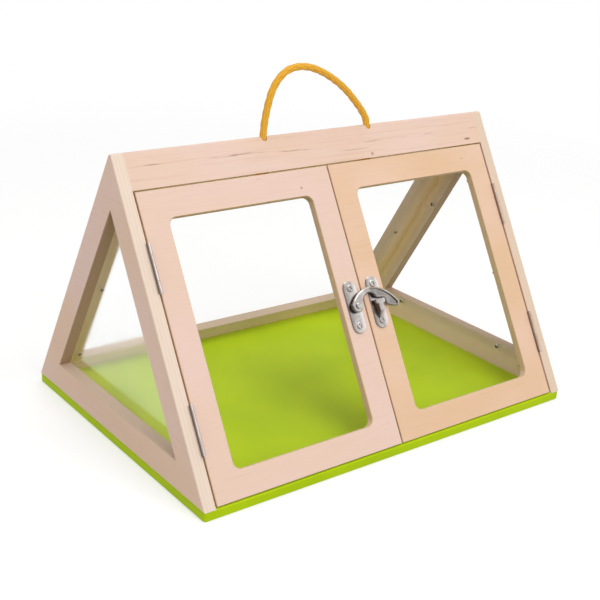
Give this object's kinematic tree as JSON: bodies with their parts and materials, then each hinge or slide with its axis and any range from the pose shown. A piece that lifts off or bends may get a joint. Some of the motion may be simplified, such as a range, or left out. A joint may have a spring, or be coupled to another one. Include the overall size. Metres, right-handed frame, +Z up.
{
  "type": "tabletop toy greenhouse",
  "caption": "Small tent-shaped play greenhouse with plywood frames, clear panes, hinged front doors, a swing latch, a painted base board and a rope carrying handle.",
  "frame": {"origin": "Middle of the base board's underside, on the surface that the house stands on.", "axes": "+X to the right along the ridge and the longest side, +Y from the doors towards the back, +Z up."},
  "size_m": [0.38, 0.272, 0.2938],
  "materials": {
    "plywood": "pale birch plywood, sanded and oiled",
    "beam_wood": "pale solid wood, planed",
    "base_paint": "board with satin lime-green paint",
    "acrylic": "clear acrylic sheet",
    "hinge_steel": "dull grey-brown steel",
    "latch_metal": "bright nickel-plated stamping",
    "rope": "twisted yellow-orange rope"
  },
  "bodies": {
    "house": {"base_board": "base_paint", "left_end_frame": "plywood", "right_end_frame": "plywood", "left_end_pane": "acrylic", "right_end_pane": "acrylic", "ridge_beam": "beam_wood", "back_frame": "plywood", "back_pane": "acrylic", "rope_handle": "rope", "left_rope_knot": "rope", "right_rope_knot": "rope", "left_upper_hinge_frame_leaf": "hinge_steel", "left_lower_hinge_frame_leaf": "hinge_steel", "right_upper_hinge_frame_leaf": "hinge_steel", "right_lower_hinge_frame_leaf": "hinge_steel"},
    "left_door": {"left_door_frame": "plywood", "left_door_pane": "acrylic", "left_upper_hinge_door_leaf": "hinge_steel", "left_lower_hinge_door_leaf": "hinge_steel", "latch_plate": "latch_metal"},
    "right_door": {"right_door_frame": "plywood", "right_door_pane": "acrylic", "right_upper_hinge_door_leaf": "hinge_steel", "right_lower_hinge_door_leaf": "hinge_steel", "catch_plate": "latch_metal"},
    "latch_arm": {"latch_arm": "latch_metal"}
  },
  "joints": [
    {"name": "left_door_hinge", "type": "hinge", "parent": "house", "child": "left_door", "pos_m": [-0.1792, -0.07778, 0.11019], "axis": [0, -0.5057, -0.8627], "range_deg": [0, 170]},
    {"name": "right_door_hinge", "type": "hinge", "parent": "house", "child": "right_door", "pos_m": [0.1792, -0.07778, 0.11019], "axis": [0, 0.5057, 0.8627], "range_deg": [0, 170]},
    {"name": "latch_arm_swing", "type": "hinge", "parent": "left_door", "child": "latch_arm", "pos_m": [-0.01095, -0.07653, 0.10945], "axis": [0, -0.8627, 0.5057], "range_deg": [0, 100]}
  ]
}
